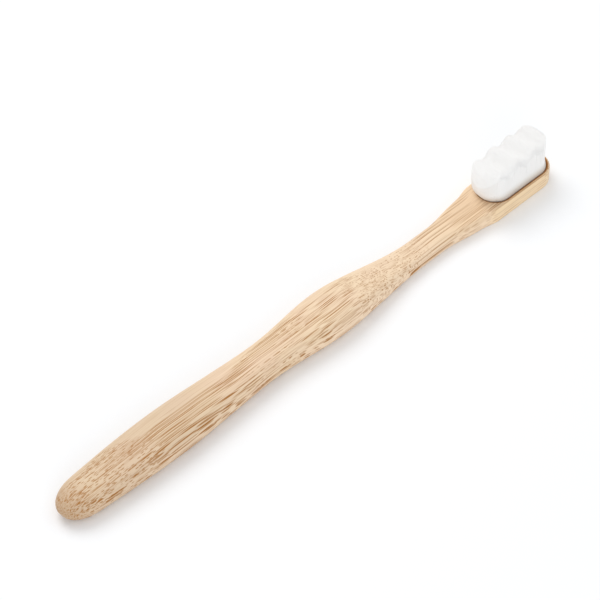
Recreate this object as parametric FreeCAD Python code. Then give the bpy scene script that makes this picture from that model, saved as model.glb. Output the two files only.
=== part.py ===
import FreeCAD
import Part
import math
import os

Vector = FreeCAD.Vector

# Lengths in millimetres, angles in degrees. +X runs from the butt to the tip, +Z up from the flat back.

# Length of the brush, and lengths between the handle's stations from the grip to the tip
overall_length = 190.0
grip_to_waist = 38.0
waist_to_swell = 24.0
swell_to_neck = 37.0
neck_length = 6.0
neck_to_head = 25.0
head_length = 22.0

# Widths at the stations; the stick's full width is at its grip and at its swell
stick_width = 14.8
butt_width = 11.0
waist_width = 11.2
neck_width = 8.1
head_width = 12.8

# Heights of the handle's top above its flat back
butt_thickness = 8.0
grip_thickness = 9.2
waist_thickness = 8.9
swell_thickness = 9.3
neck_thickness = 5.0
head_thickness = 5.3

# Radii of the handle's long edges
grip_edge = 4.0
waist_edge = 3.8
swell_edge = 3.8
neck_edge = 1.9
head_edge = 0.7
edge_limit_share = 0.44
edge_curve_share = 0.552

# Lean of the crowned top where it meets the edge radius
grip_crown = 16.0
waist_crown = 16.0
swell_crown = 13.0
neck_crown = 8.0

# Rounded butt
butt_round = 9.0
butt_round_power = 2.3
butt_nose_share = 0.12
butt_lift_share = 0.5

# Stretch over which the head's full section runs on before its straight-sided end
head_run = 1.5

# Sanding that makes the back flat
back_sanding = 0.3

# Pocket in the head
rim_width = 1.1
pocket_length = 24.9
pocket_depth = 3.2
mouth_chamfer = 0.3

# Glue and bristle roots in the pocket
glue_floor = 0.4
glue_wall = 0.15
root_plate_thickness = 0.9

# Bristle block: crests above the rim, wave between them, drop and lean of its two ends
heel_crest_height = 10.6
middle_crest_height = 11.4
tip_crest_height = 11.6
crest_count = 4
wave_pitch = 6.6
wave_depth = 1.1
crest_share = 0.55
last_crest_to_tip = 1.7
heel_drop = 2.6
tip_drop = 1.0
splay_height = 4.5
heel_splay = 2.5
tip_lean = 1.1
shoulder_round = 1.3

# Bundles of filaments: rows from the heel to the tip, and bundles in the first and every second row
bundle_rows = 8
row_bundles = 3
bundle_gap = 0.06
bundle_inset = 0.1

# Reach of cutting and trimming tools past what they cut
overrun = 2.0

# Places of the handle's sections, as shares of the stretch between two stations, and pieces of their curves
section_shares = (0.0, 0.25, 0.5, 0.75)
curve_pieces = 5
butt_turns = (14.0, 27.0, 40.0, 54.0, 70.0)

# Places along the brush, with the middle of its length at X = 0; the butt takes what the rest leaves
head_from_butt = overall_length - head_length
neck_from_butt = head_from_butt - neck_to_head - neck_length
swell_from_butt = neck_from_butt - swell_to_neck
waist_from_butt = swell_from_butt - waist_to_swell
grip_from_butt = waist_from_butt - grip_to_waist
butt_x = -overall_length / 2
tip_x = overall_length / 2
head_x = butt_x + head_from_butt
blank_x = head_x + head_run

# Pocket, root plate and bristle block lie inside one another, seen from above
pocket_tip_x = tip_x - rim_width
pocket_heel_x = pocket_tip_x - pocket_length
pocket_width = head_width - 2 * rim_width
root_tip_x = pocket_tip_x - glue_wall
root_heel_x = pocket_heel_x + glue_wall
root_width = pocket_width - 2 * glue_wall
block_tip_x = root_tip_x - bundle_inset
block_heel_x = root_heel_x + bundle_inset
block_width = root_width - 2 * bundle_inset
block_length = block_tip_x - block_heel_x
splay_scale = 1 + (heel_splay - tip_lean) / block_length

# Heights in the head
pocket_floor_z = head_thickness - pocket_depth
root_plate_z = pocket_floor_z + glue_floor
bundle_z = root_plate_z + root_plate_thickness
crest_top_z = head_thickness + max(heel_crest_height, middle_crest_height, tip_crest_height)


def line_to(edges, start, end):
    edges.append(Part.makeLine(start, end))
    return end


def curve_to(edges, start, middle, end):
    edges.append(Part.Arc(start, middle, end).toShape())
    return end


def bezier_to(edges, poles):
    # The curve comes in several pieces, so that the lofted strips are narrow and need few facets
    for number in range(curve_pieces):
        piece = Part.BezierCurve()
        piece.setPoles(poles)
        piece.segment(number / curve_pieces, (number + 1) / curve_pieces)
        edges.append(piece.toShape())
    return poles[-1]


def round_to(edges, start, corner, end):
    # Nearly circular curve that touches the lines from its ends to the corner
    first = start + (corner - start) * edge_curve_share
    last = end + (corner - end) * edge_curve_share
    return bezier_to(edges, [start, first, last, end])


def on_arc(centre, radius, first, last):
    # Point of an arc halfway between two of its points
    return centre + (first + last - centre * 2).normalize() * radius


def handle_section(x, width, low_z, high_z, edge, crown):
    # Flat bottom, upright sides, rounded edges, and a crowned top that runs smoothly into them
    half = width / 2
    radius = min(edge, edge_limit_share * (high_z - low_z), edge_limit_share * width)
    lean = math.radians(crown)
    inner = half - radius
    shoulder_y = inner + radius * math.sin(lean)
    shoulder_z = high_z - shoulder_y * math.tan(lean) / 2
    side_z = shoulder_z - (half - shoulder_y) * math.tan(lean)
    lower_z = low_z + radius
    upper_z = shoulder_z - radius * math.cos(lean)

    edges = []
    start = Vector(x, -inner, low_z)
    here = line_to(edges, start, Vector(x, inner, low_z))
    here = round_to(edges, here, Vector(x, half, low_z), Vector(x, half, lower_z))
    here = line_to(edges, here, Vector(x, half, upper_z))
    here = round_to(edges, here, Vector(x, half, side_z), Vector(x, shoulder_y, shoulder_z))
    crown_pole = Vector(x, 0, 2 * high_z - shoulder_z)
    here = bezier_to(edges, [here, crown_pole, Vector(x, -shoulder_y, shoulder_z)])
    here = round_to(edges, here, Vector(x, -half, side_z), Vector(x, -half, upper_z))
    here = line_to(edges, here, Vector(x, -half, lower_z))
    round_to(edges, here, Vector(x, -half, low_z), start)
    return Part.Wire(edges)


def butt_section(from_butt, fullness):
    # Section of the tapering butt; a fullness below one belongs to its rounded end
    rise = math.sin(math.pi / 2 * from_butt / grip_from_butt)
    width = butt_width + (stick_width - butt_width) * rise
    full = back_sanding + butt_thickness + (grip_thickness - butt_thickness) * rise
    low_z = -back_sanding + butt_lift_share * full * (1 - fullness)
    return handle_section(butt_x + from_butt, width * fullness, low_z, low_z + full * fullness,
                          grip_edge, grip_crown)


def butt_sections():
    sections = [butt_section(0, butt_nose_share)]
    for turn in butt_turns:
        across = math.sin(math.radians(turn)) ** (2 / butt_round_power)
        along = math.cos(math.radians(turn)) ** (2 / butt_round_power)
        sections.append(butt_section(butt_round * (1 - along), across))
    for share in section_shares:
        sections.append(butt_section(butt_round + (grip_from_butt - butt_round) * share, 1))
    return sections


def blend(start, end, share):
    # Passes from start to end with no slope at either of them
    return start + (end - start) * share * share * (3 - 2 * share)


def head_section(x):
    return handle_section(x, head_width, -back_sanding, head_thickness, head_edge, 0)


def stick_sections():
    # Sections between the stations, each row: place, width, thickness, edge radius, crown
    stations = [
        (grip_from_butt, stick_width, grip_thickness, grip_edge, grip_crown),
        (waist_from_butt, waist_width, waist_thickness, waist_edge, waist_crown),
        (swell_from_butt, stick_width, swell_thickness, swell_edge, swell_crown),
        (neck_from_butt, neck_width, neck_thickness, neck_edge, neck_crown),
        (neck_from_butt + neck_length, neck_width, neck_thickness, neck_edge, neck_crown),
        (head_from_butt, head_width, head_thickness, head_edge, 0),
    ]
    sections = []
    for here, there in zip(stations, stations[1:]):
        for share in section_shares:
            from_butt = here[0] + (there[0] - here[0]) * share
            width, top, edge, crown = [blend(a, b, share) for a, b in zip(here[1:], there[1:])]
            sections.append(handle_section(butt_x + from_butt, width, -back_sanding, top, edge, crown))
    for x in (head_x, (head_x + blank_x) / 2, blank_x):
        sections.append(head_section(x))
    return sections


def stadium(heel_x, end_x, width, z):
    # Flat face with straight sides and a half round at each end
    half = width / 2
    edges = []
    start = Vector(heel_x + half, -half, z)
    here = line_to(edges, start, Vector(end_x - half, -half, z))
    here = curve_to(edges, here, Vector(end_x, 0, z), Vector(end_x - half, half, z))
    here = line_to(edges, here, Vector(heel_x + half, half, z))
    curve_to(edges, here, Vector(heel_x, 0, z), start)
    return Part.Face(Part.Wire(edges))


def head_blank():
    # The head's section runs straight on, and half of it turns round the tip
    half = head_width / 2
    section = Part.Face(head_section(blank_x))
    straight = section.extrude(Vector(tip_x - half - blank_x, 0, 0))
    beside = Part.makeBox(2 * overrun, half + overrun, head_thickness + back_sanding + 2 * overrun,
                          Vector(blank_x - overrun, 0, -back_sanding - overrun))
    side = section.common(beside).Faces[0]
    side.translate(Vector(tip_x - half - blank_x, 0, 0))
    tip = side.revolve(Vector(tip_x - half, 0, 0), Vector(0, 0, 1), -180)
    return straight.fuse(tip)


def bamboo_handle():
    stick = Part.makeLoft(butt_sections() + stick_sections(), True, False)
    body = stick.fuse(head_blank())

    below = back_sanding + overrun
    beside = max(stick_width, head_width) / 2 + overrun
    sanding = Part.makeBox(overall_length + 2 * overrun, 2 * beside, below,
                           Vector(butt_x - overrun, -beside, -below))
    body = body.cut(sanding)

    pocket = stadium(pocket_heel_x, pocket_tip_x, pocket_width, pocket_floor_z)
    body = body.cut(pocket.extrude(Vector(0, 0, pocket_depth + overrun)))

    # The chamfer's tool keeps its slope above the rim, so it clears the head's top everywhere
    lower = stadium(pocket_heel_x, pocket_tip_x, pocket_width, head_thickness - mouth_chamfer)
    spread = 2 * mouth_chamfer
    upper = stadium(pocket_heel_x - spread, pocket_tip_x + spread, pocket_width + 2 * spread,
                    head_thickness + mouth_chamfer)
    mouth = Part.makeLoft([lower.OuterWire, upper.OuterWire], True, True)
    return body.cut(mouth).removeSplitter()


def adhesive_bed():
    tray = stadium(pocket_heel_x, pocket_tip_x, pocket_width, pocket_floor_z)
    tray = tray.extrude(Vector(0, 0, glue_floor + root_plate_thickness))
    inside = stadium(root_heel_x, root_tip_x, root_width, root_plate_z)
    return tray.cut(inside.extrude(Vector(0, 0, root_plate_thickness + overrun)))


def bristle_root_plate():
    plate = stadium(root_heel_x, root_tip_x, root_width, root_plate_z)
    return plate.extrude(Vector(0, 0, root_plate_thickness))


def crest_tops():
    heights = [heel_crest_height] + [middle_crest_height] * (crest_count - 2) + [tip_crest_height]
    last_x = block_tip_x - tip_lean - last_crest_to_tip
    tops = []
    for number, height in enumerate(heights):
        x = last_x - (crest_count - 1 - number) * wave_pitch
        tops.append(Vector(x, 0, head_thickness + height))
    return tops


def end_round(top, end_x, drop):
    # Arc from a crest's top down to the block's end, and a point farther on along its tangent
    reach = abs(end_x - top.x)
    radius = (reach ** 2 + drop ** 2) / (2 * drop)
    centre = top - Vector(0, 0, radius)
    end = Vector(end_x, 0, top.z - drop)
    side = (end_x - top.x) / reach
    outward = (end - centre).normalize()
    tangent = Vector(outward.z, 0, -outward.x) * side
    return on_arc(centre, radius, top, end), end, end + tangent * overrun


def wave_trim():
    # Space under the trimmed crests: arcs for crests and valleys that run into one another, their ends rounded
    reach = ((wave_pitch / 2) ** 2 + wave_depth ** 2) / (2 * wave_depth)
    crest_radius = reach * crest_share
    valley_radius = reach - crest_radius
    tops = crest_tops()
    floor_z = bundle_z - overrun
    heel_middle, heel_end, heel_far = end_round(tops[0], block_heel_x - heel_splay, heel_drop)
    tip_middle, tip_end, tip_far = end_round(tops[-1], block_tip_x - tip_lean, tip_drop)

    edges = []
    start = Vector(heel_far.x, 0, floor_z)
    here = line_to(edges, start, heel_far)
    here = line_to(edges, here, heel_end)
    here = curve_to(edges, here, heel_middle, tops[0])
    for left, right in zip(tops, tops[1:]):
        left_centre = left - Vector(0, 0, crest_radius)
        right_centre = right - Vector(0, 0, crest_radius)
        step = right_centre - left_centre
        upright = Vector(-step.z, 0, step.x).normalize()
        rise = math.sqrt(reach ** 2 - (step.Length / 2) ** 2)
        valley_centre = left_centre + step / 2 + upright * rise
        left_touch = left_centre + (valley_centre - left_centre) * crest_share
        right_touch = right_centre + (valley_centre - right_centre) * crest_share
        here = curve_to(edges, here, on_arc(left_centre, crest_radius, left, left_touch), left_touch)
        here = curve_to(edges, here, valley_centre - upright * valley_radius, right_touch)
        here = curve_to(edges, here, on_arc(right_centre, crest_radius, right_touch, right), right)
    here = curve_to(edges, here, tip_middle, tip_end)
    here = line_to(edges, here, tip_far)
    here = line_to(edges, here, Vector(tip_far.x, 0, floor_z))
    line_to(edges, here, start)
    half = block_width * splay_scale / 2
    wave = Part.Face(Part.Wire(edges))
    wave.translate(Vector(0, -half, 0))
    wave = wave.extrude(Vector(0, 2 * half, 0))
    crest_edges = [edge for edge in wave.Edges if isinstance(edge.Curve, Part.Circle)]
    return wave.makeFillet(shoulder_round, crest_edges)


def bristle_bundles():
    # Staggered rows of bundles fill the pocket, splay towards the heel above its mouth, then rise straight
    outline = stadium(block_heel_x, block_tip_x, block_width, bundle_z)
    trim = wave_trim()
    row_length = block_length / bundle_rows
    tip_end = Vector(block_tip_x, 0, head_thickness)
    bundles = []
    for row in range(bundle_rows):
        count = row_bundles + row % 2
        column_width = block_width / count
        for column in range(count):
            corner = Vector(block_heel_x + row * row_length + bundle_gap / 2,
                            -block_width / 2 + column * column_width + bundle_gap / 2, bundle_z)
            cell = Part.makePlane(row_length - bundle_gap, column_width - bundle_gap, corner)
            foot = cell.common(outline).Faces[0].OuterWire
            mouth = foot.copy()
            mouth.translate(Vector(0, 0, head_thickness - bundle_z))
            splayed = mouth.copy()
            splayed.scale(splay_scale, tip_end)
            splayed.translate(Vector(-tip_lean, 0, splay_height))
            top = splayed.copy()
            top.translate(Vector(0, 0, crest_top_z - head_thickness - splay_height))
            bundle = Part.makeLoft([foot, mouth, splayed, top], True, True)
            bundles.append(bundle.common(trim).Solids[0])
    return bundles


os.makedirs("parts", exist_ok=True)

bamboo_handle().exportStep("parts/bamboo_handle.step")
adhesive_bed().exportStep("parts/adhesive_bed.step")
bristle_root_plate().exportStep("parts/bristle_root_plate.step")
for number, bundle in enumerate(bristle_bundles(), 1):
    bundle.exportStep("parts/bristle_bundle_%02d.step" % number)
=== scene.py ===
import bpy
import bmesh
import math
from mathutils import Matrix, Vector


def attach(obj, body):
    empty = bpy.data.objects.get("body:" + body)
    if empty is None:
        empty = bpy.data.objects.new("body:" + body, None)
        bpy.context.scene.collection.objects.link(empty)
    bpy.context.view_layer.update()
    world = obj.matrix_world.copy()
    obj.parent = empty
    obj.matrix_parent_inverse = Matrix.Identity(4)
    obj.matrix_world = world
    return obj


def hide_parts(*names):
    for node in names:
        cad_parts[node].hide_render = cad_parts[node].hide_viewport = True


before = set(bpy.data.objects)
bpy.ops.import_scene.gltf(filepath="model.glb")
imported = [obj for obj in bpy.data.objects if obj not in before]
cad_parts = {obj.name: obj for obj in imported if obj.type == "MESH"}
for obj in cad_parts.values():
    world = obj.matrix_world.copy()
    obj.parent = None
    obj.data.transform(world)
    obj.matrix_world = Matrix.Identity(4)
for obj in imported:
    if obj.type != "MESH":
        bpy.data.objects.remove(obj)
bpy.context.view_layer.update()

# Lengths in metres. +X runs from the butt to the tip, +Y to the far side, +Z up from the flat back.
MM = 0.001

# The head, as the solids have it
RIM_Z = 5.3 * MM
POCKET_HEEL_X = 69.0 * MM
POCKET_TIP_X = 93.9 * MM
POCKET_WIDTH = 10.6 * MM
BLOCK_HEEL_X = 69.25 * MM
BLOCK_TIP_X = 93.65 * MM
BLOCK_WIDTH = 10.1 * MM
BUNDLE_GAP = 0.06 * MM

# Copies of solids: points nearer than this are merged, and edges sharper than this stay sharp
MERGE_DISTANCE = 0.002 * MM
SHARP_EDGE = math.radians(32)

# The filaments, and how their block spreads above the pocket
FILAMENT_DIAMETER = 0.176 * MM
FILAMENT_SPACING = 0.14 * MM
POCKET_FILL = 0.34 * MM
SPLAY_HEIGHT = 4.5 * MM
HEEL_SPLAY = 2.5 * MM
TIP_LEAN = 1.1 * MM

# How uneven the filaments are: sideways per length of rise, at the foot per spacing, and in height
FILAMENT_STRAY = 0.006
FOOT_WOBBLE = 0.08
END_UNEVENNESS = 0.025 * MM

# How far in from its outline the block is rounded off, and by how much: at the sides,
# more in the valleys of the wave, and more round the heel
SHOULDER = 2.8 * MM
SIDE_DROP = 0.35 * MM
VALLEY_DROP = 0.9 * MM
HEEL_DROP = 0.9 * MM
WAVE_PITCH = 6.6 * MM
LAST_CREST_TO_TIP = 1.7 * MM

# The upward part of the steepest cut's normal, and how much of the wave's slope the filaments' ends take on
STEEPEST_CUT = 0.35
WAVE_SLANT = 0.25

# A filament's rod: the ring and the share of its height where it stops bending, the share of its height
# in its end, the end's width against the rest, and the share of its height above which the cut slants it
ROD_SIDES = 6
ROD_RINGS = 5
BEND_RING = 3
BEND_SHARE = 0.52
END_SHARE = 0.004
END_WIDTH = 0.98
END_BEGINS = 0.98

# Rays that look for a bundle's foot and for its trimmed top start this far off
FOOT_PROBE = 1 * MM
TOP_PROBE = 40 * MM

# The floor lies a hair below the flat back
FLOOR_Z = -0.03 * MM
FLOOR_REACH = 6.0

# The camera's aim, distance, bearing and lens, with lens and sensor in millimetres
CAMERA_AIM = Vector((6.697, 12.128, 0.0)) * MM
CAMERA_DISTANCE = 0.9
CAMERA_AZIMUTH = math.radians(-44.94)
CAMERA_ELEVATION = math.radians(47.0)
CAMERA_LENS = 191.18
CAMERA_SENSOR = 36.0
CAMERA_NEAR = 0.05
CAMERA_FAR = 20.0

# Width of the round lamps
LAMP_WIDTH = 0.7

# Where features of the bamboo, and its painted light and shade, come in or fade out along the stick: from and
# to, in millimetres along X
GRIP_COMES = (-82.0, -60.0)
GRIP_GOES = (-12.0, -34.0)
SWELL_COMES = (-34.0, -12.0)
SWELL_GOES = (46.0, 28.0)
DASHES_COME = (-34.0, -24.0)
DASHES_GO = (6.0, -4.0)
BUTT_DASHES = (-62.0, -78.0)
BUTT_TAPER = (-48.0, -64.0)
SLOPE_COMES = (16.0, 26.0)
SLOPE_GOES = (53.0, 44.0)
NECK_PALES = (38.0, 55.0)
HEAD_SIDE_COMES = (48.0, 62.0)
BUTT_DULLS = (-25.0, -55.0)
SWELL_LIGHTENS = (-8.0, 28.0)
HEAD_TANS = (42.0, 62.0)
NOSE_PAINTED_SHADE = (-85.0, -95.0)
GRIP_FLANK_COMES = (-80.0, -62.0)
GRIP_FLANK_GOES = (-22.0, -40.0)
SWELL_FLANK_COMES = (-16.0, 0.0)
HEAD_FLANK_COMES = (60.0, 70.0)
STICK_THINS = (12.0, 42.0)

# The same for heights above the back, and for distances from the middle or from the pocket's wall
SLOPE_FACES_UP = (2.6, 4.2)
HEAD_SIDE_BELOW = (5.0, 4.6)
RIM_EDGE = (5.4, 6.4)
SCORCH_REACH = (0.60, 0.34)
SCORCH_ABOVE = (1.6, 3.0)

# Heights between which the filaments pass from painted shade at their feet to clean white, in millimetres
FEET_SHADE_LIFTS = (5.3, 9.5)

# The stick's height at swell and head, in millimetres, and the shares of it between which its flank is
# painted paler, as painted light
SWELL_HEIGHT = 9.0
HEAD_HEIGHT = 5.1
FLANK_LEVEL = (0.80, 0.55)


# Node trees

class Nodes:
    """A node tree, with short ways to add nodes to it and to link them."""

    def __init__(self, tree):
        self.tree = tree

    def feed(self, socket, value):
        """Links a socket, or sets it to a plain value."""
        if isinstance(value, bpy.types.NodeSocket):
            self.tree.links.new(value, socket)
        else:
            socket.default_value = value

    def put(self, kind, inputs=None, **options):
        """Adds a node, sets its options, and feeds its inputs by name or number."""
        made = self.tree.nodes.new(kind)
        for name, value in options.items():
            setattr(made, name, value)
        for key, value in (inputs or {}).items():
            self.feed(made.inputs[key], value)
        return made

    def calc(self, operation, first, second=0.0, third=0.0, clamp=False):
        inputs = {0: first, 1: second, 2: third}
        return self.put("ShaderNodeMath", inputs, operation=operation, use_clamp=clamp).outputs[0]

    def plus(self, first, second):
        return self.calc("ADD", first, second)

    def minus(self, first, second):
        return self.calc("SUBTRACT", first, second)

    def times(self, first, *others):
        for other in others:
            first = self.calc("MULTIPLY", first, other)
        return first

    def times_plus(self, first, factor, added):
        return self.calc("MULTIPLY_ADD", first, factor, added)

    def over(self, first, second):
        return self.calc("DIVIDE", first, second)

    def larger(self, first, second):
        return self.calc("MAXIMUM", first, second)

    def smaller(self, first, second):
        return self.calc("MINIMUM", first, second)

    def rounded(self, value):
        return self.calc("ROUND", value)

    def line(self, value, low, high, start, end):
        """Passes evenly from start to end while the value goes from low to high."""
        inputs = {"Value": value, 1: low, 2: high, 3: start, 4: end}
        return self.put("ShaderNodeMapRange", inputs).outputs[0]

    def ramp(self, value, low, high, start=0.0, end=1.0):
        """Passes smoothly from start to end while the value goes from low to high."""
        inputs = {"Value": value, 1: low, 2: high, 3: start, 4: end}
        return self.put("ShaderNodeMapRange", inputs, interpolation_type="SMOOTHSTEP").outputs[0]

    def tint(self, share, first, second):
        """Colour between two colours, each a socket or a plain colour."""
        return self.put("ShaderNodeMix", {0: share, 6: first, 7: second}, data_type="RGBA").outputs[2]

    def either(self, share, first, second):
        """A shader between those of two nodes."""
        inputs = {0: share, 1: first.outputs[0], 2: second.outputs[0]}
        return self.put("ShaderNodeMixShader", inputs).outputs[0]

    def xyz(self, vector):
        return self.put("ShaderNodeSeparateXYZ", {0: vector}).outputs

    def vector(self, x, y, z):
        return self.put("ShaderNodeCombineXYZ", {0: x, 1: y, 2: z}).outputs[0]

    def vectors(self, operation, first, second):
        return self.put("ShaderNodeVectorMath", {0: first, 1: second}, operation=operation).outputs[0]

    def scaled(self, vector, factor):
        return self.put("ShaderNodeVectorMath", {0: vector, "Scale": factor}, operation="SCALE").outputs[0]

    def stretched(self, place, scale):
        return self.put("ShaderNodeMapping", {"Vector": place, "Scale": scale}).outputs[0]

    def noise(self, place, scale=1.0, detail=1.0, output="Fac"):
        inputs = {"Vector": place, "Scale": scale, "Detail": detail}
        return self.put("ShaderNodeTexNoise", inputs).outputs[output]


def srgb(red, green, blue):
    """A colour as seen on a screen, 0 to 255, as the linear colour that a shader takes."""
    def linear(level):
        level = level / 255
        return level / 12.92 if level <= 0.04045 else ((level + 0.055) / 1.055) ** 2.4
    return (linear(red), linear(green), linear(blue), 1.0)


def new_finish(name):
    """A material with its nodes, its shader and Object coordinates in millimetres."""
    material = bpy.data.materials.new(name)
    material.use_nodes = True
    nodes = Nodes(material.node_tree)
    nodes.tree.nodes.clear()
    shader = nodes.put("ShaderNodeBsdfPrincipled")
    nodes.put("ShaderNodeOutputMaterial", {"Surface": shader.outputs[0]})
    place = nodes.put("ShaderNodeTexCoord").outputs["Object"]
    return material, nodes, shader, nodes.stretched(place, (1 / MM,) * 3)


# Finishes

class BambooPattern(Nodes):
    """Pale carbonised bamboo: brown fibres run along the stick, so a slanting cut shows them as dots."""

    def __init__(self, tree, place):
        super().__init__(tree)
        self.place = place
        self.along, self.across, self.height = self.xyz(place)
        self.slow = self.stretched(place, (0.035, 0.05, 0.05))
        self.grain = self.wandering_grain(sideways=1.6)
        self.on_grip = self.times(self.ramp(self.along, *GRIP_COMES), self.ramp(self.along, *GRIP_GOES))
        self.on_swell = self.times(self.ramp(self.along, *SWELL_COMES), self.ramp(self.along, *SWELL_GOES))

    def wandering_grain(self, sideways):
        """The place, shifted a little from side to side along the stick."""
        wander = self.noise(self.slow, output="Color")
        wander = self.vectors("SUBTRACT", wander, (0.5, 0.5, 0.5))
        wander = self.vectors("MULTIPLY", wander, (0.0, sideways, sideways))
        return self.vectors("ADD", self.place, wander)

    def rods(self, spacing, depth, radius, softness, weakest, fading):
        """Flat fibres spread over the cross-section, of uneven strength, that come and go along the stick."""
        _, across, height = self.xyz(self.grain)
        section = self.vector(self.over(across, spacing), self.over(height, depth), 0.0)
        cells = self.put("ShaderNodeTexVoronoi", {"Vector": section, "Scale": 1.0, "Randomness": 0.7},
                         voronoi_dimensions="2D").outputs
        rod = self.ramp(cells["Distance"], radius + softness, radius - softness)
        strength = self.put("ShaderNodeSeparateColor", {0: cells["Color"]}).outputs[0]
        strength = self.ramp(strength, 0.05, 0.65, start=weakest)
        runs = self.noise(self.stretched(self.grain, (fading, 0.9 / spacing, 0.9 / depth)))
        return self.times(rod, strength, self.ramp(runs, 0.34, 0.56, start=0.40))

    def cut_ends(self, length, spacing, depth):
        """Ends of fibres where a cut slants through the grain."""
        spread = self.stretched(self.grain, (1 / length, 1 / spacing, 1 / depth))
        cells = self.put("ShaderNodeTexVoronoi", {"Vector": spread, "Scale": 1.0, "Randomness": 0.8}).outputs
        return self.ramp(cells["Distance"], 0.38, 0.20)

    def broken_up(self, fibre):
        """The fibres break up into dashes in patches where the swell starts, and all over the butt."""
        dashes = self.ramp(self.noise(self.stretched(self.grain, (0.46, 1.8, 1.2))), 0.42, 0.54)
        patches = self.noise(self.slow, scale=3.0, detail=0.0)
        swell_start = self.times(self.ramp(self.along, *DASHES_COME), self.ramp(self.along, *DASHES_GO))
        broken = self.times(self.ramp(patches, 0.40, 0.52, start=0.1, end=0.9), swell_start)
        broken = self.larger(broken, self.ramp(self.along, *BUTT_DASHES))
        return self.times(fibre, self.minus(1.0, self.times(broken, self.minus(1.0, dashes))))

    def with_cut_ends(self, fibre):
        """Dots where the stick thins towards the neck, and short slanting ends on the butt's taper."""
        ragged_x = self.times_plus(self.noise(self.place, scale=0.3), 14.0, self.along)
        slope = self.times(self.ramp(ragged_x, *SLOPE_COMES), self.ramp(ragged_x, *SLOPE_GOES),
                           self.ramp(self.height, *SLOPE_FACES_UP))
        dots = self.cut_ends(length=0.95, spacing=0.52, depth=3.0)
        fibre = self.times(fibre, self.times_plus(slope, -0.75, 1.0))
        fibre = self.calc("ADD", fibre, self.times(dots, slope, 0.6), clamp=True)
        butt_ends = self.cut_ends(length=2.3, spacing=0.44, depth=0.55)
        return self.larger(fibre, self.times(butt_ends, self.ramp(ragged_x, *BUTT_TAPER), 0.8))

    def crowding(self):
        """How crowded the fibres are: sparse at the far edge, cut nearer the pith, and fewer on the head."""
        band = self.times_plus(self.on_grip, -2.9, 6.4)
        band = self.times_plus(self.on_swell, -1.3, band)
        band = self.times_plus(self.noise(self.slow, scale=2.4), -4.0, band)
        beyond = self.minus(self.across, band)
        crowded = self.times(self.ramp(beyond, 0.9, -0.9, start=0.10),
                             self.ramp(self.along, *NECK_PALES, start=1.0, end=0.68))
        head_side = self.times(self.ramp(self.along, *HEAD_SIDE_COMES),
                               self.ramp(self.height, *HEAD_SIDE_BELOW))
        return self.times(crowded, self.times_plus(head_side, -0.5, 1.0))

    def fibres(self):
        """Coarse fibres with fine ones between them, which are strongest on the grip."""
        coarse = self.rods(spacing=0.50, depth=0.95, radius=0.31, softness=0.08, weakest=0.40, fading=0.04)
        fine = self.rods(spacing=0.40, depth=0.7, radius=0.30, softness=0.09, weakest=0.20, fading=0.06)
        crowded = self.crowding()
        coarse = self.times(self.with_cut_ends(self.broken_up(coarse)), crowded)
        fine_share = self.times_plus(self.on_grip, 0.40, 0.38)
        fine = self.times(fine, self.times_plus(crowded, fine_share, 0.12))
        return self.larger(coarse, fine)

    def streaks(self):
        """Fine lengthwise shading of the ground tissue."""
        return self.noise(self.stretched(self.grain, (0.05, 2.2, 2.2)), detail=3.0)

    def painted_flank_light(self):
        """Share by which the lower sides of the stick are painted paler, by stretches: painted light on the
        sides.
        """
        stick_height = self.ramp(self.along, *STICK_THINS, start=SWELL_HEIGHT, end=HEAD_HEIGHT)
        level = self.over(self.height, stick_height)
        flank = self.times(self.ramp(self.along, *GRIP_FLANK_GOES, end=0.3),
                           self.ramp(self.along, *GRIP_FLANK_COMES))
        flank = self.plus(flank, self.ramp(self.along, *SWELL_FLANK_COMES, end=0.7))
        flank = self.plus(flank, self.ramp(self.along, *HEAD_FLANK_COMES, end=0.3))
        return self.times(flank, self.ramp(level, *FLANK_LEVEL))

    def ground(self, streaks):
        """Ground tissue: streaked and clouded, dull at the butt, pale on the swell, tan on the head; with
        painted light on the lower sides and round the head's rim, and painted shade on the butt's nose.
        """
        clouds = self.noise(self.slow, scale=2.2, detail=2.0)
        # Round the outer edge of the head the ground is painted paler: painted light where the bristles shade
        # the rim
        painted_rim_light = self.times(self.ramp(self.calc("ABSOLUTE", self.across), *RIM_EDGE),
                         self.ramp(self.along, *HEAD_FLANK_COMES, end=0.7))
        colour = self.tint(self.ramp(streaks, 0.30, 0.70), srgb(232, 204, 169), srgb(244, 220, 188))
        colour = self.tint(self.ramp(clouds, 0.35, 0.68, end=0.5), colour, srgb(237, 206, 181))
        colour = self.tint(self.ramp(self.along, *BUTT_DULLS, end=0.55), colour, srgb(210, 186, 157))
        colour = self.tint(self.ramp(self.along, *SWELL_LIGHTENS, end=0.6), colour, srgb(247, 223, 192))
        colour = self.tint(self.ramp(self.along, *HEAD_TANS, end=0.40), colour, srgb(232, 198, 160))
        # The lower sides are painted paler: painted light
        colour = self.tint(self.painted_flank_light(), colour, srgb(253, 228, 198))
        colour = self.tint(painted_rim_light, colour, srgb(255, 228, 186))
        # The butt's rounded nose is painted darker: painted shade where it turns down towards the floor
        return self.tint(self.ramp(self.along, *NOSE_PAINTED_SHADE, end=0.65), colour, srgb(190, 160, 128))

    def scorch(self):
        """Share of the burnt line that the hot cutter leaves round the mouth of the pocket."""
        middle = (POCKET_HEEL_X + POCKET_TIP_X) / 2 / MM
        reach = (POCKET_TIP_X - POCKET_HEEL_X - POCKET_WIDTH) / 2 / MM
        past_end = self.minus(self.calc("ABSOLUTE", self.minus(self.along, middle)), reach)
        past_end = self.larger(past_end, 0.0)
        from_axis = self.plus(self.calc("POWER", past_end, 2.0), self.calc("POWER", self.across, 2.0))
        from_wall = self.minus(self.calc("SQRT", from_axis), POCKET_WIDTH / 2 / MM)
        ragged = self.times_plus(self.noise(self.place, scale=1.1, detail=2.0), -0.22, from_wall)
        return self.times(self.ramp(ragged, *SCORCH_REACH), self.ramp(self.height, *SCORCH_ABOVE))


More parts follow.
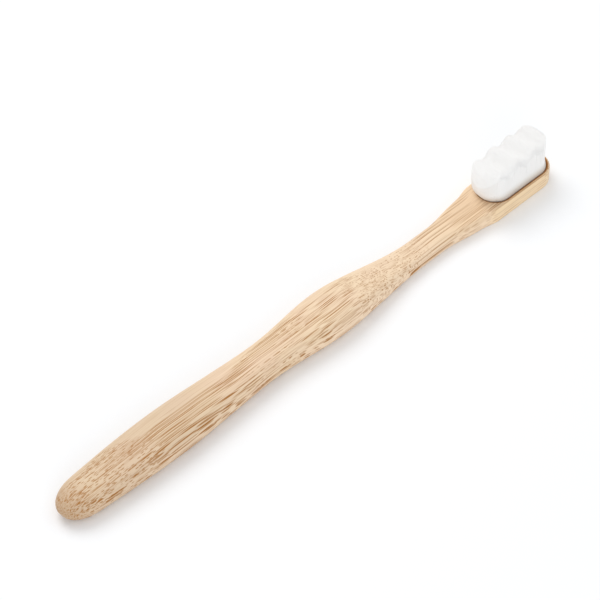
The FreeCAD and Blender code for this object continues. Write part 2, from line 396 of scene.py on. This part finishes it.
def bamboo_finish():
    material, nodes, shader, place = new_finish("bamboo")
    bamboo = BambooPattern(nodes.tree, place)
    fibres = bamboo.fibres()
    streaks = bamboo.streaks()
    colour = bamboo.tint(fibres, bamboo.ground(streaks), srgb(166, 110, 44))
    colour = bamboo.tint(bamboo.scorch(), colour, srgb(168, 112, 56))
    pores = bamboo.times_plus(fibres, -0.6, streaks)
    bump = bamboo.put("ShaderNodeBump", {"Strength": 0.25, "Distance": 0.05 * MM, "Height": pores})
    bamboo.feed(shader.inputs["Base Color"], colour)
    bamboo.feed(shader.inputs["Roughness"], bamboo.times_plus(streaks, 0.18, 0.44))
    bamboo.feed(shader.inputs["Specular IOR Level"], 0.3)
    bamboo.feed(shader.inputs["Normal"], bump.outputs[0])
    return material


def filament_finish():
    """White nylon, each filament a slightly different white, with painted shade at the feet."""
    material, nodes, shader, place = new_finish("white_filament")
    tone = nodes.noise(nodes.stretched(place, (2.4, 2.4, 0.12)), detail=2.0)
    white = nodes.tint(nodes.ramp(tone, 0.3, 0.7), srgb(254, 253, 252), srgb(254, 254, 253))
    # The feet are painted a little duller and greyer: painted shade, where the filaments crowd together above
    # the pocket
    clear = nodes.ramp(nodes.xyz(place)[2], *FEET_SHADE_LIFTS)
    nodes.feed(shader.inputs["Base Color"], nodes.tint(clear, srgb(222, 214, 204), white))
    nodes.feed(shader.inputs["Roughness"], 0.5)
    nodes.feed(shader.inputs["Specular IOR Level"], 0.2)
    return material


def clouded_finish(name, scale, detail, dark, light, roughness):
    """Two shades in soft clouds."""
    material, nodes, shader, place = new_finish(name)
    clouds = nodes.noise(place, scale, detail)
    nodes.feed(shader.inputs["Base Color"], nodes.tint(clouds, dark, light))
    nodes.feed(shader.inputs["Roughness"], roughness)
    return material


def glue_finish():
    """Honey-coloured set glue with faint flow marks."""
    return clouded_finish("set_glue", scale=0.9, detail=3.0, dark=srgb(196, 170, 122),
                          light=srgb(224, 203, 160), roughness=0.3)


def melt_finish():
    """Filament ends melted into one milky plate."""
    return clouded_finish("melted_filament", scale=1.6, detail=2.0, dark=srgb(214, 212, 205),
                          light=srgb(236, 234, 228), roughness=0.5)


# Pieces

def copy_of(node, name):
    """A merged copy of a CAD node's mesh, as a new object."""
    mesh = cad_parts[node].data.copy()
    mesh.name = name
    shell = bmesh.new()
    shell.from_mesh(mesh)
    bmesh.ops.remove_doubles(shell, verts=shell.verts, dist=MERGE_DISTANCE)
    shell.to_mesh(mesh)
    shell.free()
    return new_object(name, mesh)


def new_object(name, data):
    made = bpy.data.objects.new(name, data)
    bpy.context.scene.collection.objects.link(made)
    return made


def bamboo_handle(finish):
    handle = copy_of("bamboo_handle", "handle")
    mesh = handle.data
    mesh.shade_smooth()
    mesh.set_sharp_from_angle(angle=SHARP_EDGE)
    mesh.materials.clear()
    mesh.materials.append(finish)
    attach(handle, "root")
    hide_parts("bamboo_handle")


class BristleNodes(Nodes):
    """Nodes that grow the filaments of one bundle, from its foot up to its trimmed top."""

    def __init__(self, tree):
        super().__init__(tree)
        self.size = self.put("NodeGroupInput").outputs
        self.position = self.put("GeometryNodeInputPosition").outputs[0]
        box = self.put("GeometryNodeBoundBox", {"Geometry": self.size["Bundle"]}).outputs
        self.low = self.xyz(box["Min"])
        self.high = self.xyz(box["Max"])
        self.half = self.times(self.size["Block Width"], 0.5)
        self.heel_turn = self.plus(self.size["Heel End"], self.half)
        self.tip_turn = self.minus(self.size["Tip End"], self.half)
        self.centre_x = self.times(self.plus(self.size["Heel End"], self.size["Tip End"]), 0.5)

    def add(self, first, second):
        return self.vectors("ADD", first, second)

    def random_vector(self, low, high):
        made = self.put("FunctionNodeRandomValue", {"Seed": self.size["Seed"]}, data_type="FLOAT_VECTOR")
        ends = [socket for socket in made.inputs if socket.type == "VECTOR"]
        self.feed(ends[0], low)
        self.feed(ends[1], high)
        return [socket for socket in made.outputs if socket.type == "VECTOR"][0]

    def random_number(self, low, high):
        made = self.put("FunctionNodeRandomValue", {"Seed": self.size["Seed"]}, data_type="FLOAT")
        ends = [socket for socket in made.inputs if socket.type == "VALUE"]
        self.feed(ends[0], low)
        self.feed(ends[1], high)
        return [socket for socket in made.outputs if socket.type == "VALUE"][0]

    def kept(self, geometry, name, kind, value):
        """Keeps a value on each point under a name."""
        made = self.put("GeometryNodeStoreNamedAttribute", {"Geometry": geometry, "Name": name},
                        data_type=kind, domain="POINT")
        self.feed([socket for socket in made.inputs if socket.name == "Value" and socket.enabled][0], value)
        return made.outputs[0]

    def named(self, name, kind="FLOAT_VECTOR"):
        """A value kept under a name."""
        made = self.put("GeometryNodeInputNamedAttribute", {"Name": name}, data_type=kind)
        wanted = "VECTOR" if kind == "FLOAT_VECTOR" else "VALUE"
        return [socket for socket in made.outputs if socket.type == wanted][0]

    def splay(self, foot):
        """Sideways shift of a filament above the spread, from its foot's place."""
        x, y, _ = self.xyz(foot)
        growth = self.minus(self.size["Splay Scale"], 1.0)
        shift_x = self.times(self.minus(x, self.size["Tip End"]), growth)
        shift_x = self.minus(shift_x, self.size["Tip Lean"])
        return self.vector(shift_x, self.times(y, growth), 0.0)

    def turn_count(self, radius):
        """Number of filaments on the half circle at one end of a ring."""
        count = self.rounded(self.over(self.times(radius, math.pi), self.size["Spacing"]))
        return self.larger(count, 1.0)

    def ring_feet(self):
        """Feet in close rings that follow the pocket's outline inwards, the same through all bundles."""
        rings = self.rounded(self.over(self.half, self.times(self.size["Spacing"], math.sqrt(3) / 2)))
        ring_step = self.over(self.half, rings)
        straight = self.minus(self.tip_turn, self.heel_turn)
        straight_count = self.rounded(self.over(straight, self.size["Spacing"]))
        slots = self.times(self.plus(straight_count, self.turn_count(self.half)), 2.0)
        last_ring = self.minus(rings, 1.0)
        last_slot = self.minus(slots, 1.0)
        grid = self.put("GeometryNodeMeshGrid", {"Size X": last_ring, "Size Y": last_slot,
                                                 "Vertices X": rings, "Vertices Y": slots}).outputs[0]
        column, row, _ = self.xyz(self.position)
        ring = self.rounded(self.plus(column, self.times(last_ring, 0.5)))
        slot = self.rounded(self.plus(row, self.times(last_slot, 0.5)))
        radius = self.minus(self.half, self.times(self.plus(ring, 0.5), ring_step))
        round_count = self.turn_count(radius)
        half_ring = self.plus(straight_count, round_count)
        second_half = self.calc("GREATER_THAN", slot, self.minus(half_ring, 0.5))
        slot = self.minus(slot, self.times(second_half, half_ring))
        used = self.calc("LESS_THAN", slot, self.minus(half_ring, 0.5))

        # Half a ring: one straight side, then the turn round the tip; the other half is that, turned about
        on_turn = self.calc("GREATER_THAN", slot, self.minus(straight_count, 0.5))
        stagger = self.times_plus(self.calc("MODULO", ring, 2.0), 0.5, 0.25)
        run = self.over(self.plus(slot, stagger), straight_count)
        run_x = self.times_plus(run, straight, self.heel_turn)
        share = self.over(self.plus(self.minus(slot, straight_count), 0.5), round_count)
        angle = self.times_plus(share, -math.pi, math.pi / 2)
        turn_x = self.times_plus(self.calc("COSINE", angle), radius, self.tip_turn)
        turn_y = self.times(self.calc("SINE", angle), radius)
        ring_x = self.times_plus(self.minus(turn_x, run_x), on_turn, run_x)
        ring_y = self.times_plus(self.minus(turn_y, radius), on_turn, radius)
        way = self.times_plus(second_half, -2.0, 1.0)
        ring_x = self.times_plus(self.minus(ring_x, self.centre_x), way, self.centre_x)
        placed = self.vector(ring_x, self.times(ring_y, way), self.low[2])

        feet = self.kept(grid, "used", "FLOAT", used)
        feet = self.kept(feet, "inset", "FLOAT", self.minus(self.half, radius))
        return self.put("GeometryNodeSetPosition", {"Geometry": feet, "Position": placed}).outputs[0]

    def drawn_in(self, axis):
        """A foot's place on one axis, drawn in by half the gap, so a seam's filament has its bundle."""
        at = self.xyz(self.position)[axis]
        centre = self.times(self.plus(self.low[axis], self.high[axis]), 0.5)
        side = self.calc("SIGN", self.minus(at, centre))
        return self.minus(at, self.times(side, self.times(self.size["Bundle Gap"], 0.5)))

    def ray(self, start, direction, length):
        """Where a ray meets the bundle."""
        inputs = {"Target Geometry": self.size["Bundle"], "Source Position": start,
                  "Ray Direction": direction, "Ray Length": length}
        return self.put("GeometryNodeRaycast", inputs).outputs

    def trimmed_points(self, feet):
        """The feet that stand on this bundle, each with its filament's height and the slope of its end."""
        size = self.size
        foot_x, _, foot_z = self.xyz(self.position)
        inside = self.vector(self.drawn_in(0), self.drawn_in(1), foot_z)
        stands = self.ray(self.add(inside, (0.0, 0.0, -FOOT_PROBE)), (0.0, 0.0, 1.0), 2 * FOOT_PROBE)
        spread = self.add(inside, self.splay(inside))
        top = self.ray(self.add(spread, (0.0, 0.0, TOP_PROBE)), (0.0, 0.0, -1.0), 2 * TOP_PROBE)
        tall = self.minus(self.xyz(top["Hit Position"])[2], foot_z)
        tall = self.plus(tall, self.random_number(-END_UNEVENNESS, END_UNEVENNESS))

        # Towards the outline the filaments stand a little lower, more so in the valleys and round the heel
        inset = self.over(self.named("inset", "FLOAT"), size["Shoulder"])
        outward = self.calc("SUBTRACT", 1.0, inset, clamp=True)
        outward_squared = self.times(outward, outward)
        round_heel = self.line(foot_x, self.heel_turn, size["Heel End"], 0.0, 1.0)
        short_of_tip = self.line(foot_x, self.tip_turn, size["Tip End"], 1.0, 0.0)
        waves = self.over(self.minus(self.xyz(spread)[0], size["Last Crest"]), size["Wave Pitch"])
        wave_angle = self.times(waves, math.tau)
        valley = self.times_plus(self.calc("COSINE", wave_angle), -0.5, 0.5)
        side_drop = self.times_plus(valley, size["Valley Drop"], size["Side Drop"])
        drop = self.plus(self.times(side_drop, short_of_tip),
                         self.times(size["Heel Drop"], self.times(round_heel, round_heel)))
        tall = self.minus(tall, self.times(drop, outward_squared))

        # The ends are cut along the slope of the top: the solid's own, and that of the rounding
        facing_x, facing_y, facing_z = self.xyz(top["Hit Normal"])
        facing_up = self.larger(facing_z, STEEPEST_CUT)
        axis_x = self.smaller(self.larger(foot_x, self.heel_turn), self.tip_turn)
        off_axis = self.vectors("SUBTRACT", self.position, self.vector(axis_x, 0.0, foot_z))
        outwards = self.put("ShaderNodeVectorMath", {0: off_axis}, operation="NORMALIZE").outputs[0]
        out_x, out_y, _ = self.xyz(outwards)
        fall = self.over(self.times(drop, outward, -2.0), size["Shoulder"])
        valley_fall = self.times(self.calc("SINE", wave_angle), outward_squared)
        steepness = self.over(self.times(size["Valley Drop"], -math.pi), size["Wave Pitch"])
        valley_fall = self.times(valley_fall, steepness, short_of_tip)
        wave_slope = self.minus(valley_fall, self.over(facing_x, facing_up))
        taken_on = self.times_plus(self.larger(round_heel, outward), 1 - WAVE_SLANT, WAVE_SLANT)
        slope_x = self.times_plus(fall, out_x, self.times(wave_slope, taken_on))
        slope_y = self.minus(self.times(fall, out_y), self.over(facing_y, facing_up))

        wobble = self.random_vector((-FOOT_WOBBLE, -FOOT_WOBBLE, 0.0), (FOOT_WOBBLE, FOOT_WOBBLE, 0.0))
        grows = self.times(stands["Is Hit"], self.times(top["Is Hit"], self.named("used", "FLOAT")))
        points = self.kept(feet, "foot", "FLOAT_VECTOR", self.position)
        points = self.kept(points, "wobble", "FLOAT_VECTOR", self.scaled(wobble, size["Spacing"]))
        points = self.kept(points, "tall", "FLOAT", tall)
        points = self.kept(points, "slope", "FLOAT_VECTOR", self.vector(slope_x, slope_y, 0.0))
        points = self.put("GeometryNodeSeparateGeometry", {"Geometry": points, "Selection": grows},
                          domain="POINT").outputs[0]
        sway = self.random_vector((-1.0, -1.0, 0.0), (1.0, 1.0, 0.0))
        return self.kept(points, "sway", "FLOAT_VECTOR", sway)

    def rod(self):
        """One straight filament of unit height: rings at the foot, through the bend and at the end."""
        radius = self.times(self.size["Diameter"], 0.5)
        cylinder = self.put("GeometryNodeMeshCylinder", {"Vertices": ROD_SIDES, "Side Segments": ROD_RINGS,
                                                         "Radius": radius, "Depth": float(ROD_RINGS)},
                            fill_type="NGON").outputs["Mesh"]
        x, y, z = self.xyz(self.position)
        ring = self.plus(z, ROD_RINGS / 2)
        end_ring = ROD_RINGS - 1
        up = self.line(ring, 0, BEND_RING, 0.0, BEND_SHARE)
        up = self.plus(up, self.line(ring, BEND_RING, end_ring, 0.0, 1 - BEND_SHARE - END_SHARE))
        up = self.plus(up, self.line(ring, end_ring, ROD_RINGS, 0.0, END_SHARE))
        slim = self.line(ring, end_ring, ROD_RINGS, 1.0, END_WIDTH)
        shaped = self.vector(self.times(x, slim), self.times(y, slim), up)
        rod = self.put("GeometryNodeSetPosition", {"Geometry": cylinder, "Position": shaped}).outputs[0]

        # The sides are smooth, the foot and the end flat
        facing_up = self.xyz(self.put("GeometryNodeInputNormal").outputs[0])[2]
        side = self.calc("LESS_THAN", self.calc("ABSOLUTE", facing_up), 0.5)
        return self.put("GeometryNodeSetShadeSmooth", {"Geometry": rod, "Shade Smooth": side}).outputs[0]

    def grown(self, points):
        """A rod on every point, as tall as its filament."""
        turn = self.vector(0.0, 0.0, self.times(self.random_number(0.0, 1.0), math.tau))
        scale = self.vector(1.0, 1.0, self.named("tall", "FLOAT"))
        rods = self.put("GeometryNodeInstanceOnPoints", {"Points": points, "Instance": self.rod(),
                                                         "Rotation": turn, "Scale": scale}).outputs[0]
        return self.put("GeometryNodeRealizeInstances", {0: rods}).outputs[0]

    def spread_out(self, filaments):
        """The filaments spread as they leave the pocket, then rise straight, each a little astray."""
        size = self.size
        foot = self.named("foot")
        above_rim = self.minus(self.xyz(self.position)[2], size["Rim Height"])
        left = self.minus(1.0, self.calc("DIVIDE", above_rim, size["Splay Height"], clamp=True))
        bend = self.minus(1.0, self.times(left, left))
        splayed = self.scaled(self.splay(foot), bend)
        astray = self.scaled(self.named("sway"), self.times(self.larger(above_rim, 0.0), size["Stray"]))

        # The outermost ring fills the pocket
        foot_x, foot_y, _ = self.xyz(foot)
        length = self.minus(size["Tip End"], size["Heel End"])
        fill_x = self.times(self.minus(foot_x, self.centre_x), self.over(size["Fill"], length))
        fill_y = self.times(foot_y, self.over(size["Fill"], size["Block Width"]))
        fill = self.vector(fill_x, fill_y, 0.0)

        # The cut slants the last two rings
        from_foot = self.vectors("SUBTRACT", self.position, foot)
        share = self.over(self.xyz(from_foot)[2], self.named("tall", "FLOAT"))
        rise = self.put("ShaderNodeVectorMath", {0: from_foot, 1: self.named("slope")},
                        operation="DOT_PRODUCT").outputs["Value"]
        slant = self.times(rise, self.calc("GREATER_THAN", share, END_BEGINS))

        offset = self.add(self.add(splayed, astray), self.add(fill, self.named("wobble")))
        offset = self.add(offset, self.vector(0.0, 0.0, slant))
        return self.put("GeometryNodeSetPosition", {"Geometry": filaments, "Offset": offset}).outputs[0]


def bristle_tree():
    """The node tree that all bundles share."""
    tree = bpy.data.node_groups.new("bristle_bundle", "GeometryNodeTree")
    tree.interface.new_socket("Bundle", in_out="INPUT", socket_type="NodeSocketGeometry")
    for name in ("Diameter", "Spacing", "Bundle Gap", "Heel End", "Tip End", "Block Width", "Rim Height",
                 "Splay Height", "Splay Scale", "Tip Lean", "Fill", "Stray", "Shoulder", "Side Drop",
                 "Valley Drop", "Heel Drop", "Wave Pitch", "Last Crest"):
        tree.interface.new_socket(name, in_out="INPUT", socket_type="NodeSocketFloat")
    tree.interface.new_socket("Seed", in_out="INPUT", socket_type="NodeSocketInt")
    tree.interface.new_socket("Finish", in_out="INPUT", socket_type="NodeSocketMaterial")
    tree.interface.new_socket("Filaments", in_out="OUTPUT", socket_type="NodeSocketGeometry")
    nodes = BristleNodes(tree)
    points = nodes.trimmed_points(nodes.ring_feet())
    filaments = nodes.spread_out(nodes.grown(points))
    inputs = {"Geometry": filaments, "Material": nodes.size["Finish"]}
    finished = nodes.put("GeometryNodeSetMaterial", inputs).outputs[0]
    nodes.put("NodeGroupOutput", {0: finished})
    return tree


def bristle_bundle(node, number, tree, finish):
    grower = copy_of(node, "grower")
    modifier = grower.modifiers.new("bristles", "NODES")
    modifier.node_group = tree
    values = {"Diameter": FILAMENT_DIAMETER, "Spacing": FILAMENT_SPACING, "Bundle Gap": BUNDLE_GAP,
              "Heel End": BLOCK_HEEL_X, "Tip End": BLOCK_TIP_X, "Block Width": BLOCK_WIDTH,
              "Rim Height": RIM_Z, "Splay Height": SPLAY_HEIGHT, "Tip Lean": TIP_LEAN,
              "Splay Scale": 1 + (HEEL_SPLAY - TIP_LEAN) / (BLOCK_TIP_X - BLOCK_HEEL_X),
              "Fill": POCKET_FILL, "Stray": FILAMENT_STRAY, "Shoulder": SHOULDER, "Side Drop": SIDE_DROP,
              "Valley Drop": VALLEY_DROP, "Heel Drop": HEEL_DROP, "Wave Pitch": WAVE_PITCH,
              "Last Crest": BLOCK_TIP_X - TIP_LEAN - LAST_CREST_TO_TIP, "Seed": number, "Finish": finish}
    for item in tree.interface.items_tree:
        if item.in_out == "INPUT" and item.name in values:
            modifier[item.identifier] = values[item.name]
    bpy.context.view_layer.update()
    seen = grower.evaluated_get(bpy.context.evaluated_depsgraph_get())
    mesh = bpy.data.meshes.new_from_object(seen)
    mesh.name = node.replace("bundle", "tuft")
    tuft = new_object(mesh.name, mesh)
    grower.modifiers.clear()
    bpy.data.objects.remove(grower)
    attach(tuft, "root")
    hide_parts(node)


# Studio

def looked_at(nodes):
    """1 where a white surface is looked at, also in a mirror or through glass; 0 where it gives light."""
    path = nodes.put("ShaderNodeLightPath").outputs
    indirect = nodes.larger(path["Is Glossy Ray"], path["Is Transmission Ray"])
    return nodes.larger(path["Is Camera Ray"], indirect)


def paper_floor():
    """White paper, as looked at a touch cool, so that the shadow on it is neutral."""
    paper = bpy.data.materials.new("white_paper")
    paper.use_nodes = True
    nodes = Nodes(paper.node_tree)
    nodes.tree.nodes.clear()
    sheet = nodes.put("ShaderNodeBsdfDiffuse", {"Color": (0.945, 0.96, 0.98, 1.0)})
    glow = nodes.put("ShaderNodeEmission", {"Color": (1.0, 1.0, 1.0, 1.0), "Strength": 0.03})
    bright = nodes.put("ShaderNodeAddShader", {0: sheet.outputs[0], 1: glow.outputs[0]})
    bounce = nodes.put("ShaderNodeBsdfDiffuse", {"Color": (0.86, 0.86, 0.86, 1.0)})
    mixed = nodes.either(looked_at(nodes), bounce, bright)
    nodes.put("ShaderNodeOutputMaterial", {"Surface": mixed})

    corners = [(-FLOOR_REACH, -FLOOR_REACH, FLOOR_Z), (FLOOR_REACH, -FLOOR_REACH, FLOOR_Z),
               (FLOOR_REACH, FLOOR_REACH, FLOOR_Z), (-FLOOR_REACH, FLOOR_REACH, FLOOR_Z)]
    mesh = bpy.data.meshes.new("floor")
    mesh.from_pydata(corners, [], [(0, 1, 2, 3)])
    mesh.materials.append(paper)
    floor = new_object("floor", mesh)


def white_surround():
    """A white backdrop, and a soft, slightly cool light from all sides."""
    world = bpy.data.worlds.new("studio")
    bpy.context.scene.world = world
    world.use_nodes = True
    nodes = Nodes(world.node_tree)
    nodes.tree.nodes.clear()
    light = nodes.put("ShaderNodeBackground", {"Color": (0.972, 0.986, 1.0, 1.0), "Strength": 0.75})
    backdrop = nodes.put("ShaderNodeBackground", {"Color": (1.0, 1.0, 1.0, 1.0), "Strength": 1.0})
    mixed = nodes.either(looked_at(nodes), light, backdrop)
    nodes.put("ShaderNodeOutputWorld", {"Surface": mixed})


def round_lamp(name, place, watts, colour):
    """A round soft lamp that shines at the middle of the brush."""
    light = bpy.data.lights.new(name, "AREA")
    light.shape = "DISK"
    light.size = LAMP_WIDTH
    light.energy = watts
    light.color = colour
    lamp = new_object(name, light)
    lamp.location = place
    lamp.rotation_euler = (-lamp.location).to_track_quat("-Z", "Y").to_euler()


def camera_over_butt():
    """The camera, over the near side of the butt."""
    lens = bpy.data.cameras.new("camera")
    lens.sensor_width = CAMERA_SENSOR
    lens.lens = CAMERA_LENS
    lens.clip_start = CAMERA_NEAR
    lens.clip_end = CAMERA_FAR
    camera = new_object("camera", lens)
    level = math.cos(CAMERA_ELEVATION)
    back = Vector((math.sin(CAMERA_AZIMUTH) * level, -math.cos(CAMERA_AZIMUTH) * level,
                   math.sin(CAMERA_ELEVATION)))
    camera.location = CAMERA_AIM + back * CAMERA_DISTANCE
    camera.rotation_euler = (-back).to_track_quat("-Z", "Y").to_euler()
    bpy.context.scene.camera = camera


bamboo_handle(bamboo_finish())
for node, finish in (("adhesive_bed", glue_finish()), ("bristle_root_plate", melt_finish())):
    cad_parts[node].material_slots[0].material = finish
bristles = bristle_tree()
white = filament_finish()
bundles = sorted(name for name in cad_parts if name.startswith("bristle_bundle"))
for number, node in enumerate(bundles, 1):
    bristle_bundle(node, number, bristles, white)

paper_floor()
white_surround()
round_lamp("softbox", place=(0.05, 0.55, 0.85), watts=3.6, colour=(1.0, 0.96, 0.92))
round_lamp("near_fill", place=(-0.5, -0.7, 0.28), watts=1.5, colour=(1.0, 1.0, 1.0))
camera_over_butt()
bpy.context.scene.view_settings.view_transform = "Standard"
